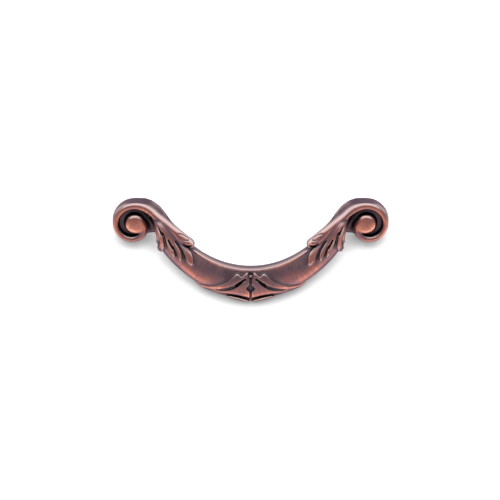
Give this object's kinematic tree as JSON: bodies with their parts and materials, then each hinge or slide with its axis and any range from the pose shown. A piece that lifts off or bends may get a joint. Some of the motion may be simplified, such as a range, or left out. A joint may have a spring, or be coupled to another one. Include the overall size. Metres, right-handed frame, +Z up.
{
  "type": "drop pull",
  "caption": "Cast drop pull: a swag grip with scrolled ends, acanthus shoulder leaves and a leaf clasp at its middle, fixed by screws from behind.",
  "frame": {"origin": "midway between the screw holes, on the plane of the drawer front", "axes": "+X along the drawer front, +Z up, +Y into the drawer front, so the grip stands out along -Y"},
  "size_m": [0.1144, 0.0251, 0.0388],
  "materials": {
    "antique_copper": "antique copper plate, darkened in the hollows and rubbed bright on the raised work"
  },
  "bodies": {
    "root": {"drop_pull": "antique_copper"}
  },
  "joints": []
}
